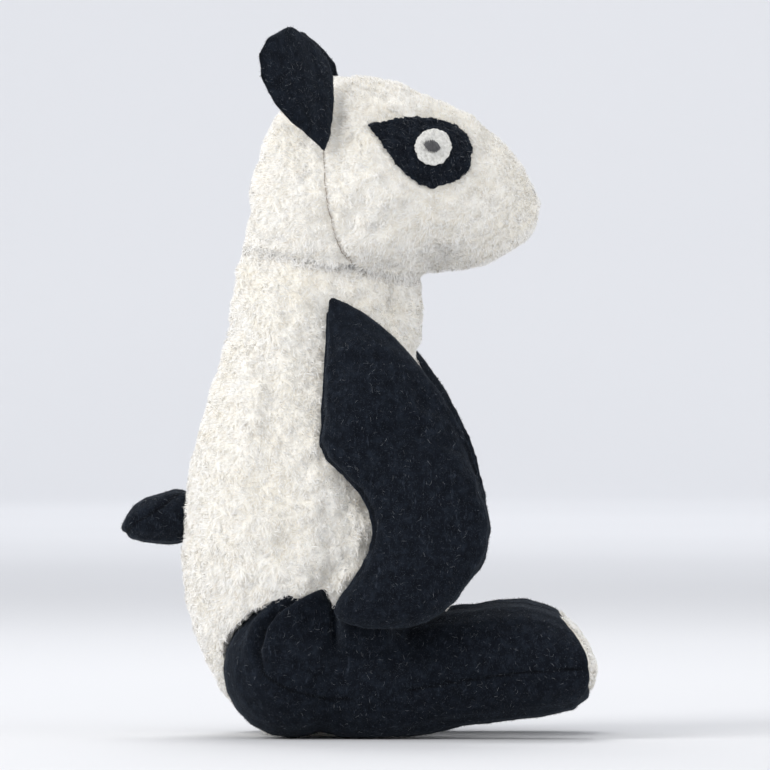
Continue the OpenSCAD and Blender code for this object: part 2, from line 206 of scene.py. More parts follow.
def noise(p, size, seed=0):
    """Smooth noise from 0 to 1 with features about that many millimetres across."""
    p = p / size + 137.0
    i = np.floor(p).astype(np.int64)
    f = p - i
    u = f * f * (3 - 2 * f)
    out = np.zeros(len(p))
    for a, b, c in itertools.product((0, 1), repeat=3):
        w = u[:, 0] if a else 1 - u[:, 0]
        w = w * (u[:, 1] if b else 1 - u[:, 1])
        w = w * (u[:, 2] if c else 1 - u[:, 2])
        out += scrambled(i[:, 0] + a, i[:, 1] + b, i[:, 2] + c, seed) * w
    return out


def noise3(p, size, seed=0):
    """Smooth noise from -0.5 to 0.5 in each direction."""
    return np.stack([noise(p, size, seed + i * 17 + 1) for i in range(3)], 1) - 0.5


def bell(x, width):
    """1 at 0, falling smoothly to nothing over about twice the width."""
    return np.exp(-((x / width) ** 2))


def step(x, a, b):
    """0 up to a and 1 from b on, with a smooth rise between. With a above b it falls."""
    t = np.clip((x - a) / (b - a), 0, 1)
    return t * t * (3 - 2 * t)


def tree_of(v, q):
    """A skin made ready for finding its nearest point or where a ray meets it."""
    return BVHTree.FromPolygons([tuple(x) for x in v], q.tolist())


def near(p, names):
    """How far each point is from the nearest of these nodes."""
    best = np.full(len(p), 1e9)
    for name in names:
        tree = tree_of(*cad(name))
        best = np.minimum(best, np.array([tree.find_nearest(x)[3] for x in p.tolist()]))
    return best


def along(p, a, b):
    """Each point beside the line from a to b in the side view: its share of the way, and its distance."""
    a, b = np.array(a, float), np.array(b, float)
    t = np.clip((p[:, 1:] - a) @ (b - a) / ((b - a) @ (b - a)), 0, 1)
    return t, np.linalg.norm(p[:, 1:] - a - t[:, None] * (b - a), axis=1)


def trace(v, q, f):
    """The lines on a skin where f is 0, as lists of points."""
    t = np.vstack([q[:, [0, 1, 2]], q[:, [0, 2, 3]]])
    s = f[t] > 0
    t = t[s.any(1) & ~s.all(1)]
    links, place = {}, {}
    for tri in t.tolist():
        cut = []
        for a, b in ((0, 1), (1, 2), (2, 0)):
            i, j = sorted((tri[a], tri[b]))
            if (f[i] > 0) != (f[j] > 0):
                key = (i, j)
                if key not in place:
                    w = f[i] / (f[i] - f[j])
                    place[key] = v[i] * (1 - w) + v[j] * w
                cut.append(key)
        if len(cut) == 2:
            links.setdefault(cut[0], []).append(cut[1])
            links.setdefault(cut[1], []).append(cut[0])
    lines, used = [], set()
    for start in sorted(links, key=lambda k: len(links[k])):
        if start in used:
            continue
        line, here = [start], start
        used.add(start)
        while True:
            on = [k for k in links[here] if k not in used]
            if not on:
                break
            here = on[0]
            used.add(here)
            line.append(here)
        if len(line) > 8:
            lines.append(np.array([place[k] for k in line]))
    return lines


def even(line, gap):
    """A line's points again, evenly spaced and smoothed."""
    for _ in range(4):
        line = np.vstack([line[:1], (line[:-2] + 2 * line[1:-1] + line[2:]) / 4, line[-1:]])
    d = np.concatenate([[0], np.cumsum(np.linalg.norm(np.diff(line, axis=0), axis=1))])
    n = max(int(d[-1] / gap), 2)
    at = np.linspace(0, d[-1], n + 1)
    return np.stack([np.interp(at, d, line[:, c]) for c in range(3)], 1)


def tubes(lines, radius, sides=6):
    """Round threads along these lines, tapered at both ends."""
    vs, qs, n = [], [], 0
    for k, line in enumerate(lines):
        r = radius[k] if hasattr(radius, "__len__") else radius
        m = len(line)
        t = np.gradient(line, axis=0)
        t /= np.maximum(np.linalg.norm(t, axis=1, keepdims=True), 1e-9)
        ref = np.array([0.31, 0.23, 0.92]) if abs(t[0][2]) < 0.8 else np.array([0.9, 0.3, 0.1])
        a = np.cross(t, ref)
        a /= np.linalg.norm(a, axis=1, keepdims=True)
        b = np.cross(t, a)
        taper = np.ones(m)
        taper[0] = taper[-1] = 0.35
        ang = np.arange(sides) * 2 * math.pi / sides
        round_it = np.cos(ang)[None, :, None] * a[:, None] + np.sin(ang)[None, :, None] * b[:, None]
        ring = line[:, None] + r * taper[:, None, None] * round_it
        vs.append(ring.reshape(-1, 3))
        i = (np.arange(m - 1)[:, None] * sides + np.arange(sides)[None]).ravel()
        j = (np.arange(m - 1)[:, None] * sides + (np.arange(sides)[None] + 1) % sides).ravel()
        qs.append(np.stack([i, i + sides, j + sides, j], 1) + n)
        n += m * sides
    return np.vstack(vs), np.vstack(qs)


# ---------- cloth ----------
CLOTH_FRAMES = 20


def puffed(names, seam_of, pin_of, pressure=4.0, slack=0.035, pull=0.1, cap=2.2, voxel=4.0):
    """Blows up a coarse skin as cloth with pulled-in seams. Returns its points and how far each one went."""
    v, q = shell(names, voxel)
    v = relax(v, q, 6)
    o = build("cloth_work", v, q)
    n0 = normals(v, q)
    seam, pin = seam_of(v), pin_of(v)
    for key, w in (("pull", seam), ("pin", pin)):
        g = o.vertex_groups.new(name=key)
        for i in np.nonzero(w > 0.02)[0].tolist():
            g.add([i], float(w[i]), "REPLACE")
    m = o.modifiers.new("c", "CLOTH")
    s = m.settings
    s.quality, s.mass = 5, 0.25
    s.tension_stiffness = s.compression_stiffness = 12
    s.shear_stiffness, s.bending_stiffness = 6, 0.6
    s.use_pressure, s.uniform_pressure_force = True, pressure
    s.effector_weights.gravity = 0
    s.vertex_group_mass = "pin"
    s.vertex_group_shrink = "pull"
    s.shrink_min, s.shrink_max = -slack, pull
    m.collision_settings.use_collision = False
    m.point_cache.frame_start, m.point_cache.frame_end = 1, CLOTH_FRAMES
    for f in range(1, CLOTH_FRAMES + 1):
        bpy.context.scene.frame_set(f)
    ev = o.evaluated_get(bpy.context.evaluated_depsgraph_get())
    me = ev.to_mesh()
    w = np.empty(len(me.vertices) * 3, np.float32)
    me.vertices.foreach_get("co", w)
    w = w.reshape(-1, 3).astype(float) / MM
    ev.to_mesh_clear()
    drop(o)
    bpy.context.scene.frame_set(1)
    d = w - v
    free = (1 - pin)[:, None]
    # the pressure makes the whole skin larger, so what all points share is taken off again
    d -= ((d * n0).sum(1) * free[:, 0]).sum() / max(free.sum(), 1) * n0 * free
    size = np.linalg.norm(d, axis=1, keepdims=True)
    return v, d * np.minimum(1, cap / np.maximum(size, 1e-9))


def follow(v, cage):
    """Moves the fine skin as the coarse cloth went. Without a cage it stays."""
    if cage is None:
        return v
    p, d = cage
    tree = KDTree(len(p))
    for i, x in enumerate(p.tolist()):
        tree.insert(x, i)
    tree.balance()
    out = np.empty_like(v)
    for k, x in enumerate(v.tolist()):
        found = tree.find_n(x, 6)
        w = np.array([1 / (f[2] ** 2 + 1.5) for f in found])
        out[k] = (d[[f[1] for f in found]] * w[:, None]).sum(0) / w.sum()
    return v + out


def cloth_of(names, panels, pin_of, seed, **how):
    """The simulated cage of a stuffed piece."""

    def seam_of(v):
        return bell(seams(v, panels), 4.5)

    return puffed(names, seam_of, pin_of, **how)


def seams(v, panels):
    """How far each point is from the line where two panels meet."""
    return np.sort(np.stack([near(v, [p]) for p in panels], 1), axis=1)[:, 1]


# ---------- materials ----------
def material(name):
    """A new material with its node tree and its shader."""
    m = bpy.data.materials.new(name)
    m.use_nodes = True
    nt = m.node_tree
    b = nt.nodes["Principled BSDF"]
    return m, nt, b


def node(nt, kind, **values):
    """A new node with these sockets or settings."""
    n = nt.nodes.new(kind)
    for key, value in values.items():
        if key in n.inputs:
            n.inputs[key].default_value = value
        else:
            setattr(n, key, value)
    return n


def ramp(nt, source, stops):
    """Colours a value from 0 to 1 by these stops."""
    r = nt.nodes.new("ShaderNodeValToRGB")
    e = r.color_ramp.elements
    while len(e) < len(stops):
        e.new(0.5)
    for k, (at, colour) in enumerate(stops):
        e[k].position = at
        e[k].color = (*colour, 1)
    nt.links.new(source, r.inputs["Fac"])
    return r.outputs["Color"]


def mix(nt, fac, a, b, kind="MIX"):
    m = nt.nodes.new("ShaderNodeMix")
    m.data_type, m.blend_type = "RGBA", kind
    for socket, value in ((m.inputs[0], fac), (m.inputs[6], a), (m.inputs[7], b)):
        if isinstance(value, (int, float)):
            socket.default_value = value
        elif isinstance(value, tuple):
            socket.default_value = (*value, 1)
        else:
            nt.links.new(value, socket)
    return m.outputs[2]


def sum_up(nt, op, a, b):
    m = nt.nodes.new("ShaderNodeMath")
    m.operation = op
    for socket, value in ((m.inputs[0], a), (m.inputs[1], b)):
        if isinstance(value, (int, float)):
            socket.default_value = value
        else:
            nt.links.new(value, socket)
    return m.outputs[0]


def grain(nt, coords, scale, detail=3.0, rough=0.6, stretch=None):
    """Noise over the object's own coordinates, in metres. Stretched, it makes wisps."""
    source = coords
    if stretch:
        mp = node(nt, "ShaderNodeMapping")
        mp.inputs["Scale"].default_value = stretch
        mp.inputs["Rotation"].default_value = (0.5, 0.3, 0.8)
        nt.links.new(coords, mp.inputs["Vector"])
        source = mp.outputs["Vector"]
    n = node(nt, "ShaderNodeTexNoise", Scale=scale, Detail=detail, Roughness=rough)
    nt.links.new(source, n.inputs["Vector"])
    return n.outputs["Fac"]


def read(nt, name):
    """A value that paint kept on the mesh."""
    a = nt.nodes.new("ShaderNodeAttribute")
    a.attribute_name = name
    return a.outputs["Fac"]


def object_at(nt):
    return node(nt, "ShaderNodeTexCoord").outputs["Object"]


def finish(b, rough, specular=None, sheen=0.2, sheen_rough=None, sheen_tint=None):
    """Sets how a fabric takes the light, on the shader's own sockets."""
    settings = {"Roughness": rough, "Specular IOR Level": specular, "Sheen Weight": sheen,
                "Sheen Roughness": sheen_rough, "Sheen Tint": sheen_tint}
    for key, value in settings.items():
        if value is not None:
            b.inputs[key].default_value = value


def emboss(nt, b, height, strength, distance):
    bump = node(nt, "ShaderNodeBump", Strength=strength, Distance=distance)
    nt.links.new(height, bump.inputs["Height"])
    nt.links.new(bump.outputs["Normal"], b.inputs["Normal"])


def plush_material():
    """The ground cloth of the plush, darkened with painted shade where the seam draws in."""
    m, nt, b = material("cream_plush")
    at = object_at(nt)
    broad = ramp(nt, grain(nt, at, 60, 2), [(0.35, (0, 0, 0)), (0.65, (1, 1, 1))])
    clumps = grain(nt, at, 420, 4, 0.65)
    stops = [(0.3, (0.87, 0.83, 0.755)), (0.48, (0.95, 0.93, 0.875)), (0.66, (0.985, 0.975, 0.94))]
    cream = ramp(nt, clumps, stops)
    warm = mix(nt, 1.0, cream, (0.965, 0.945, 0.9), "MULTIPLY")
    # painted shade: the cloth turns brown-grey along the seam groove
    seam = sum_up(nt, "MULTIPLY", read(nt, "seam"), 0.55)
    colour = mix(nt, seam, mix(nt, broad, warm, cream), (0.36, 0.31, 0.26))
    nt.links.new(colour, b.inputs["Base Color"])
    finish(b, 0.92, 0.15, 0.25, 0.6, (1.0, 0.98, 0.94, 1))
    fine = sum_up(nt, "MULTIPLY", grain(nt, at, 1400, 3, 0.7), 0.5)
    emboss(nt, b, sum_up(nt, "ADD", clumps, fine), 0.7, 0.0007)
    return m


def pile_material():
    """Strands of pile, cream at the root and nearly white at the tip."""
    m, nt, b = material("cream_pile")
    stops = [(0.0, (0.88, 0.83, 0.75)), (0.25, (0.97, 0.952, 0.912)), (0.65, (0.99, 0.982, 0.958)),
             (1.0, (0.998, 0.995, 0.982))]
    nt.links.new(ramp(nt, read(nt, "tone"), stops), b.inputs["Base Color"])
    finish(b, 0.7, 0.2)
    return m


def felt_material():
    """Blue-black felt, mottled, with two sets of paler wisps that cross each other, and painted shade along
    the seams.
    """
    m, nt, b = material("black_felt")
    at = object_at(nt)
    mottle = grain(nt, at, 320, 5, 0.7)
    wisps = grain(nt, at, 900, 3, 0.6, stretch=(1, 1, 0.22))
    across = grain(nt, at, 1000, 3, 0.6, stretch=(0.25, 1, 1))
    stops = [(0.3, (0.003, 0.0043, 0.007)), (0.5, (0.006, 0.0083, 0.013)), (0.72, (0.014, 0.019, 0.028))]
    base = ramp(nt, mottle, stops)
    light = ramp(nt, wisps, [(0.61, (0, 0, 0)), (0.74, (1, 1, 1))])
    light_across = ramp(nt, across, [(0.62, (0, 0, 0)), (0.75, (1, 1, 1))])
    colour = mix(nt, sum_up(nt, "MULTIPLY", light, 0.45), base, (0.05, 0.062, 0.085))
    colour = mix(nt, sum_up(nt, "MULTIPLY", light_across, 0.4), colour, (0.045, 0.056, 0.078))
    # painted shade: the felt goes nearly black along the seam grooves
    colour = mix(nt, sum_up(nt, "MULTIPLY", read(nt, "seam"), 0.85), colour, (0.0015, 0.002, 0.003))
    nt.links.new(colour, b.inputs["Base Color"])
    finish(b, 0.95, 0.08, 0.12, 0.45, (0.42, 0.5, 0.62, 1))
    fine = sum_up(nt, "MULTIPLY", grain(nt, at, 2400, 2), 0.6)
    emboss(nt, b, sum_up(nt, "ADD", sum_up(nt, "ADD", mottle, wisps), fine), 0.8, 0.0004)
    return m


def plain_fibre(name, low, high, rough=0.8, sheen=0.1):
    """A material for threads and lint, its colour from the tone of each strand."""
    m, nt, b = material(name)
    nt.links.new(ramp(nt, read(nt, "tone"), [(0.0, low), (1.0, high)]), b.inputs["Base Color"])
    finish(b, rough, 0.25, sheen)
    return m


def white_felt_material():
    m, nt, b = material("white_felt")
    fine = grain(nt, object_at(nt), 1100, 4, 0.7)
    stops = [(0.3, (0.55, 0.54, 0.5)), (0.55, (0.74, 0.735, 0.7)), (0.75, (0.84, 0.835, 0.81))]
    nt.links.new(ramp(nt, fine, stops), b.inputs["Base Color"])
    finish(b, 0.9)
    emboss(nt, b, fine, 0.6, 0.0003)
    return m


def sole_material():
    """The felt with the cream sole painted in: the legs' skins keep how far each point is from its edge."""
    m = felt_material()
    m.name = "black_felt_and_sole"
    nt = m.node_tree
    b = nt.nodes["Principled BSDF"]
    dark = b.inputs["Base Color"].links[0].from_socket
    stops = [(0.3, (0.66, 0.61, 0.52)), (0.48, (0.86, 0.83, 0.76)), (0.66, (0.95, 0.93, 0.88))]
    pale = ramp(nt, grain(nt, object_at(nt), 420, 4, 0.65), stops)
    on = ramp(nt, sum_up(nt, "ADD", read(nt, "sole"), 0.5), [(0.4, (1, 1, 1)), (0.6, (0, 0, 0))])
    nt.links.new(mix(nt, on, dark, pale), b.inputs["Base Color"])
    return m


PLUSH = plush_material()
PILE = pile_material()
FELT = felt_material()
FELT_AND_SOLE = sole_material()
WHITE = white_felt_material()
LINT = plain_fibre("pale_lint", (0.045, 0.055, 0.07), (0.34, 0.36, 0.39))
NAP = plain_fibre("felt_nap", (0.006, 0.008, 0.012), (0.05, 0.062, 0.08), 0.9)
SEAM_THREAD = plain_fibre("seam_thread", (0.22, 0.18, 0.15), (0.42, 0.36, 0.3), 0.7)
DARK_THREAD = plain_fibre("dark_thread", (0.003, 0.004, 0.006), (0.03, 0.034, 0.042), 0.7)
EYE_THREAD = plain_fibre("eye_thread", (0.02, 0.021, 0.024), (0.13, 0.13, 0.135), 0.6)


def dress(o, mat, body=None, ends=None, nodes=()):
    """Gives a finished piece its material, and either the body it rides on or, with ends, its place baked
    into its mesh.
    """
    o.data.materials.append(mat)
    if ends:
        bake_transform(o)
    else:
        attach(o, body)
    if nodes:
        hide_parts(*nodes)
    return o


# ---------- fibres ----------
def roots(v, q, n, per_mm2, rng):
    """Random points on a skin: where they are, which way they face, and their triangle and place in it."""
    t = np.vstack([q[:, [0, 1, 2]], q[:, [0, 2, 3]]])
    c = v[t]
    area = np.linalg.norm(np.cross(c[:, 1] - c[:, 0], c[:, 2] - c[:, 0]), axis=1) / 2
    many = int(area.sum() * per_mm2)
    k = rng.choice(len(t), many, p=area / area.sum())
    u = rng.random((many, 2))
    over = u.sum(1) > 1
    u[over] = 1 - u[over]
    w = np.stack([1 - u.sum(1), u[:, 0], u[:, 1]], 1)
    p = (v[t[k]] * w[:, :, None]).sum(1)
    m = (n[t[k]] * w[:, :, None]).sum(1)
    return p, m / np.linalg.norm(m, axis=1, keepdims=True), t[k], w


def unit(x):
    return x / np.maximum(np.linalg.norm(x, axis=1, keepdims=True), 1e-9)


def blades(p, n, comb, length, width, rng, clump=3.0, wild=0.35, rise=0.8, fall=0.15, seed=0, low=None):
    """Short tapered strands that lie over in locks: points, quads, triangles and the tone of each point."""
    t = comb - (comb * n).sum(1, keepdims=True) * n
    c = noise3(p, clump, seed) * 2.6 + noise3(p, clump * 0.45, seed + 5) * 2.0
    t = unit(unit(t) * 0.8 + c - (c * n).sum(1, keepdims=True) * n + rng.normal(0, wild, p.shape))
    t = unit(t - (t * n).sum(1, keepdims=True) * n)
    side = np.cross(n, t)
    k = len(p)
    long = length * (0.65 + 0.6 * rng.random(k))[:, None]
    lift = (rise * (0.7 + 0.6 * rng.random(k)))[:, None]
    a = unit(n * lift + t * 0.6)
    b = unit(n * fall + t + side * rng.normal(0, 0.5, (k, 1)))
    bend = p + a * long * 0.5
    tip = bend + b * long * 0.5
    wide = (width * (0.75 + 0.5 * rng.random(k)))[:, None]
    s = unit(side + n * rng.normal(0, 0.5, (k, 1)))
    base = p - n * 0.25
    foot, waist = s * wide / 2, s * wide * 0.42
    out = np.stack([base - foot, base + foot, bend + waist, bend - waist, tip], 1)
    if low is not None:
        out[:, :, 2] = np.maximum(out[:, :, 2], low)
    i = np.arange(k)[:, None] * 5
    shade = np.clip(0.5 + 0.5 * (noise(p, clump * 0.6, seed + 40) - 0.5) + rng.normal(0, 0.3, k), 0, 1)
    tones = np.stack([shade - 0.25, shade - 0.25, shade, shade, shade + 0.15], 1)
    return out.reshape(-1, 3), i + np.arange(4), i + np.array([3, 2, 4]), np.clip(tones, 0, 1).ravel()


HAIR_WIDTHS = (0.5, 1, 1, 0.9, 0.3)


def strands(p, n, length, radius, rng, curl=0.5, off=0.12, lift=0.3):
    """Loose hairs that lie on a surface and curl, as flat narrow ribbons of 4 links."""
    k = len(p)
    t = unit(np.cross(n, rng.normal(0, 1, p.shape)))
    links = len(HAIR_WIDTHS)
    here = p + n * off
    turn = rng.normal(0, curl, k)
    stride = (length * (0.5 + rng.random(k)) / (links - 1))[:, None]
    line = [here]
    for i in range(1, links):
        s = np.cross(n, t)
        t = unit(t + s * (turn + rng.normal(0, curl * 0.5, k))[:, None])
        here = here + t * stride + n * (stride * lift * (rng.random((k, 1)) - 0.35))
        line.append(here)
    line = np.stack(line, 1)
    s = unit(np.cross(n, t) + n * rng.normal(0, 0.6, (k, 1)))[:, None]
    w = (radius * np.array(HAIR_WIDTHS))[None, :, None]
    both = np.stack([line - s * w, line + s * w], 2).reshape(k, links * 2, 3)
    i = np.arange(k)[:, None] * links * 2
    quads = np.concatenate([i + np.array([2 * j, 2 * j + 1, 2 * j + 3, 2 * j + 2]) for j in range(links - 1)])
    tone = np.repeat(rng.random(k) ** 1.6, links * 2)
    return both.reshape(-1, 3), quads, tone


def lint_on(name, v, q, body, per_mm2, seed, nap=1.2, keep=None, nap_len=0.9):
    """The pale hairs and the dark nap on a felt piece."""
    rng = np.random.default_rng(seed)
    n = normals(v, q)

    def kept_roots(density):
        p, m, _, _ = roots(v, q, n, density, rng)
        ok = np.ones(len(p), bool) if keep is None else keep(p)
        return p[ok], m[ok]

    p, m = kept_roots(per_mm2)
    hair_v, hair_q, tone = strands(p, m, 1.5, 0.026, rng)
    o = build(name + "_lint", hair_v, hair_q)
    paint(o, tone=tone)
    dress(o, LINT, body)
    p, m = kept_roots(nap)
    comb = np.tile([0.0, 0.3, -1.0], (len(p), 1)) + rng.normal(0, 1.2, p.shape)
    *nap_mesh, tone = blades(p, m, comb, nap_len, 0.09, rng, clump=2.0, wild=0.9, fall=0.35, seed=seed)
    o = build(name + "_nap", *nap_mesh)
    paint(o, tone=tone * rng.random(1)[0] * 0.4 + 0.6 * tone)
    dress(o, NAP, body)


def trim(line, ok):
    """The longest stretch of a line whose points are all ok."""
    flags = ok(line)
    best, run, start = (0, 0), 0, 0
    for i, f in enumerate(list(flags) + [False]):
        if f:
            run += 1
        else:
            if run > best[1] - best[0]:
                best = (i - run, i)
            run = 0
    return line[best[0] : best[1]]


# ---------- body and head ----------
NECK_AT = np.array([0.0, 10.45, 163.75])
NECK_UP = np.array([0.0, -0.19, 0.982])
FACE_FELT = ["eye_patch_left", "eye_patch_right"]
MUZZLE_AT = np.array([0.0, -61.0, 175.0])
DENSE = 3.0  # strands of pile to a square millimetre

# the bodies on each side of the neck, the lower one first, and a point on the neck's line for each; dress
# only bakes a skin given these in place
BODY_ENDS = ("torso", "neck", tuple((NECK_AT - 26 * NECK_UP) * MM), tuple((NECK_AT - 3 * NECK_UP) * MM))
HEAD_ENDS = ("neck", "head", tuple((NECK_AT - 1 * NECK_UP) * MM), tuple((NECK_AT + 9 * NECK_UP) * MM))

Skin = namedtuple("Skin", "v q n seam")


def over_neck(p):
    """How far each point is above the round seam at the neck."""
    return (p - NECK_AT) @ NECK_UP


def cream_skin(panels, stuffing, voxel, pin_of, seed, seam_depth):
    """The plush over these panels, and how far each point is to be raised: soft bumps and puckered seams."""
    v, q = shell(panels + [stuffing], voxel)
    v = relax(v, q, 40)
    v = follow(v, cloth_of(panels + [stuffing], panels, pin_of, seed))
    v = relax(v, q, 4)
    s = seams(v, panels)
    soft = spread(s, q, 6)
    pucker = noise(v, 3.2, seed) - 0.5
    d = -1.0 - seam_depth * bell(soft, 1.5) + 0.35 * bell(soft - 3.2, 2.0) + 0.9 * bell(soft, 5.0) * pucker
    for size, high, own_seed in ((10.0, 0.5, seed + 3), (3.4, 0.3, seed + 1), (1.7, 0.4, seed + 2)):
        d += high * (noise(v, size, own_seed) - 0.5)
    return Skin(v, q, normals(v, q), s), d


def to_neck(skin, d, side):
    """Closes the round seam at the neck: its rim keeps its size and reaches into the other piece."""
    h = over_neck(skin.v)
    rim = bell(h, 3.4)
    turn = np.arctan2(skin.v[:, 0], skin.v[:, 1] - NECK_AT[1])
    gather = np.sin(turn * 46 + 3 * noise(skin.v, 14.0, 8)) * bell(h, 5.0)
    v = skin.v + skin.n * (d * (1 - rim) + 0.16 * gather - 0.1 * rim)[:, None]
    return v + side * 1.5 * bell(h, 2.6)[:, None] * NECK_UP


def creases(v):
    """Soft folds in the plush behind each arm, each from a point to a point in the side view."""
    out = np.zeros(len(v))
    for a, b, deep, wide in (((13, 97), (25, 87), 1.3, 2.6), ((15, 86), (41, 78), 0.9, 3.2),
                             ((2, 62), (14, 53), 1.0, 2.4), ((24, 66), (44, 62), 0.6, 3.4)):
        t, far = along(v, a, b)
        out += (0.55 * bell(far - 2 * wide, wide) - bell(far, wide)) * deep * (1 - 0.6 * t)
    return out * step(np.abs(v[:, 0]), 18, 34)


def pile_on(name, skin, per_mm2, length, width, comb, seed, ends, keep, clump, part=0.75):
    """Brushed pile on the part of a skin that keep allows, thinner along the seams by the share part."""
    rng = np.random.default_rng(seed)
    p, m, t, w = roots(skin.v, skin.q, skin.n, per_mm2, rng)
    ok = keep(p) & (rng.random(len(p)) < 1 - part * bell((skin.seam[t] * w).sum(1), 0.9))
    p, m = p[ok], m[ok]
    *mesh, tone = blades(p, m, comb(p), length, width, rng, clump=clump, seed=seed, low=PILE_FLOOR)
    o = build(name, *mesh)
    paint(o, tone=tone)
    dress(o, PILE, ends=ends)


def down_back(p):
    return np.tile([0.0, 0.45, -0.9], (len(p), 1))


def back_down(p):
    return np.tile([0.0, 0.9, -0.55], (len(p), 1))


def body_pin(p):
    """Holds the seat, the neck, and the sides where the legs lie."""
    legs = step(np.abs(p[:, 0]), 24, 28) * step(p[:, 2], 56, 48)
    return np.clip(step(p[:, 2], 9, 2) + step(over_neck(p), -6, -1) + legs, 0, 1)


def body_shown(p):
    return (p[:, 2] > 0.8) & (over_neck(p) < 1.5)


def make_body():
    skin, d = cream_skin(TORSO, "torso_stuffing", 1.25, body_pin, 11, 0.35)
    off_ground = step(skin.v[:, 2], 0.3, 4.0)
    v = to_neck(skin, (d + creases(skin.v)) * off_ground, 1)
    v[:, 2] = np.maximum(v[:, 2], CLOTH_FLOOR)
    o = build("torso_cloth", v, skin.q)
    # the mask of the painted seam shade, weak on the body
    paint(o, seam=0.25 * bell(skin.seam, 0.7))
    dress(o, PLUSH, ends=BODY_ENDS, nodes=TORSO + ["torso_stuffing", "neck_stuffing"])
    skin = Skin(v, skin.q, normals(v, skin.q), skin.seam)
    pile_on("torso_pile_front", skin, DENSE, 2.2, 0.24, down_back, 21, BODY_ENDS,
            lambda p: body_shown(p) & (p[:, 1] < 8), 2.5, 0.15)
    pile_on("torso_pile_back", skin, DENSE, 2.2, 0.24, down_back, 22, BODY_ENDS,
            lambda p: body_shown(p) & (p[:, 1] >= 8), 2.5, 0.15)
    return skin


def head_pin(p):
    """Holds the neck, and the face where the felt lies on it."""
    return np.clip(step(over_neck(p), 8, 2) + bell(near(p, FACE_FELT), 4.0), 0, 1)


def head_shown(p):
    """Where the head's pile grows: above the neck, and neither through the felt nor through the nose."""
    clear = np.ones(len(p), bool)
    by_eyes = np.nonzero((np.abs(p[:, 0]) > 10) & (p[:, 1] < 20) & (p[:, 2] > 180))[0]
    clear[by_eyes] = near(p[by_eyes], FACE_FELT) > 0.55
    by_nose = np.nonzero(p[:, 1] < -52)[0]
    clear[by_nose] = near(p[by_nose], ["nose"]) > 1.1
    return clear & (over_neck(p) > -1)


def head_thread(skin):
    """The thread of the seam from each ear down to the neck, which dips at every stitch."""
    face, back = near(skin.v, HEAD[:2]), near(skin.v, HEAD[2:])
    tree = tree_of(skin.v, skin.q)
    threads = []
    for line in trace(skin.v, skin.q, face - back):
        line = even(line, 0.7)
        if len(line) <= 12:
            continue
        line = trim(line, lambda x: over_neck(x) > 0.5)
        if len(line) < 6:
            continue
        out = np.array([tree.find_nearest(x)[1] for x in line.tolist()])
        wave = np.sin(np.arange(len(line)) * 2 * math.pi / 4.0)[:, None]
        threads.append(line + out * (0.55 + 0.1 * wave))
    v, q = tubes(threads, 0.14)
    o = build("head_seam_thread", v, q)
    paint(o, tone=noise(v, 1.5, 3))
    dress(o, SEAM_THREAD, ends=HEAD_ENDS)


def make_head():
    skin, d = cream_skin(HEAD, "head_stuffing", 1.1, head_pin, 31, 0.55)
    under_felt = bell(near(skin.v, FACE_FELT), 3.0)
    d = d * (1 - under_felt) - 0.35 * under_felt
    d += 1.7 * bell(np.linalg.norm(skin.v - MUZZLE_AT, axis=1), 9.0)
    v = to_neck(skin, d, -1)
    o = build("head_cloth", v, skin.q)
    # the mask of the painted seam shade, full on the head
    paint(o, seam=bell(skin.seam, 0.55))
    dress(o, PLUSH, ends=HEAD_ENDS, nodes=HEAD + ["head_stuffing"])
    skin = Skin(v, skin.q, normals(v, skin.q), skin.seam)
    pile_on("head_pile_face", skin, DENSE * 1.1, 2.1, 0.22, back_down, 41, HEAD_ENDS,
            lambda p: head_shown(p) & (p[:, 1] < 0), 2.3)
    pile_on("head_pile_back", skin, DENSE * 1.1, 2.1, 0.22, back_down, 42, HEAD_ENDS,
            lambda p: head_shown(p) & (p[:, 1] >= 0), 2.3)
    return skin


def make_neck_pile(body, head):
    """Pile brushed across the round seam at the neck, from both sides."""
    pile_on("neck_pile_low", body, DENSE * 1.6, 2.4, 0.24, lambda p: -down_back(p), 43, BODY_ENDS,
            lambda p: np.abs(over_neck(p)) < 2.2, 2.3, 0.0)
    pile_on("neck_pile_high", head, DENSE * 1.6, 2.6, 0.24, down_back, 44, HEAD_ENDS,
            lambda p: np.abs(over_neck(p)) < 2.6, 2.3, 0.0)


body_skin = make_body()
head_skin = make_head()
make_neck_pile(body_skin, head_skin)
head_thread(head_skin)


# ---------- black felt limbs ----------
def felt_skin(name, nodes, panels, body, voxel, pin_of, seed, depth=0.75, calm=30, lint=0.09,
              sim=True, mat=FELT, shape=None, marks=None, warp=None):
    """The felt over one limb. Returns its points, its faces, and its points before they were raised.

    shape adds to how far each point is raised, marks keeps more values on the mesh, and warp moves the skin.
    """
    v, q = shell(nodes, voxel)
    v = relax(v, q, calm)
    if sim:
        v = follow(v, cloth_of(nodes, panels, pin_of, seed, cap=1.6, slack=0.03, voxel=3.4))
        v = relax(v, q, 4)
    n = normals(v, q)
    s = seams(v, panels)
    soft = spread(s, q, 3)
    pucker = noise(v, 2.6, seed) - 0.5
    d = -0.15 - depth * bell(soft, 0.85) + 0.22 * bell(soft - 2.2, 1.4) + 0.5 * bell(soft, 3.5) * pucker
    d += 0.35 * (noise(v, 8.0, seed + 1) - 0.5) + 0.12 * (noise(v, 2.0, seed + 2) - 0.5)
    d = d * (1 - 0.7 * pin_of(v))
    if shape is not None:
        d = d + shape(v, n, s)
    plain = v
    v = v + n * d[:, None]
    if warp is not None:
        v = warp(v)
    v[:, 2] = np.maximum(v[:, 2], CLOTH_FLOOR)
    o = build(name, v, q)
    # the mask of the painted seam shade of the felt
    paint(o, seam=bell(s, 0.5))
    if marks is not None:
        marks(o, plain)
    dress(o, mat, body, nodes=nodes)
    lint_on(name, v, q, body, lint, seed + 7)
    return v, q, plain


def arm_pin(p):
    """Holds the side of an arm that lies on the body."""
    return step(np.abs(p[:, 0]), 47, 44)


